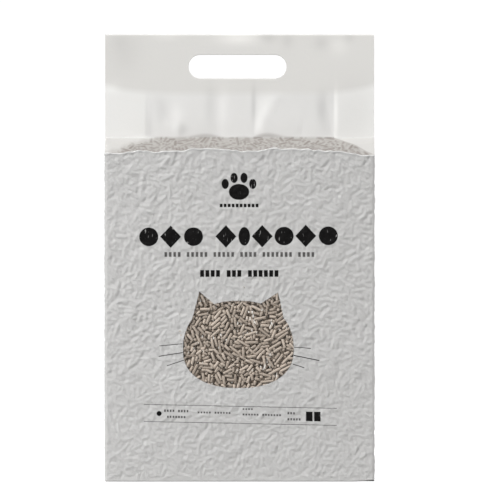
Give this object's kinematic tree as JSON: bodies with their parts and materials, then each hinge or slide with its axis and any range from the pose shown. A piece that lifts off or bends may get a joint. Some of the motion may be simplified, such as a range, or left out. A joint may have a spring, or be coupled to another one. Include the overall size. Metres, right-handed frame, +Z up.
{
  "type": "cat litter bag",
  "caption": "Flat-sided vacuum-packed film bag of pellet cat litter, with a folded top, a flat welded header and a punched hand slot.",
  "frame": {"origin": "on the ground, under the middle of the pack", "axes": "+Z up along the pack's height, towards the hand slot; +Y from the front panel to the back panel; +X to the right, seen from the front"},
  "size_m": [0.25, 0.076, 0.415],
  "materials": {
    "printed_film": "semi-gloss off-white laminated film, creased over the pellets",
    "clear_film": "the film's clear window, where no white is printed",
    "litter_pellets": "matte dry grey-brown pressed plant fibre"
  },
  "bodies": {
    "root": {"film_bag": "printed_film", "litter": "litter_pellets"}
  },
  "joints": []
}
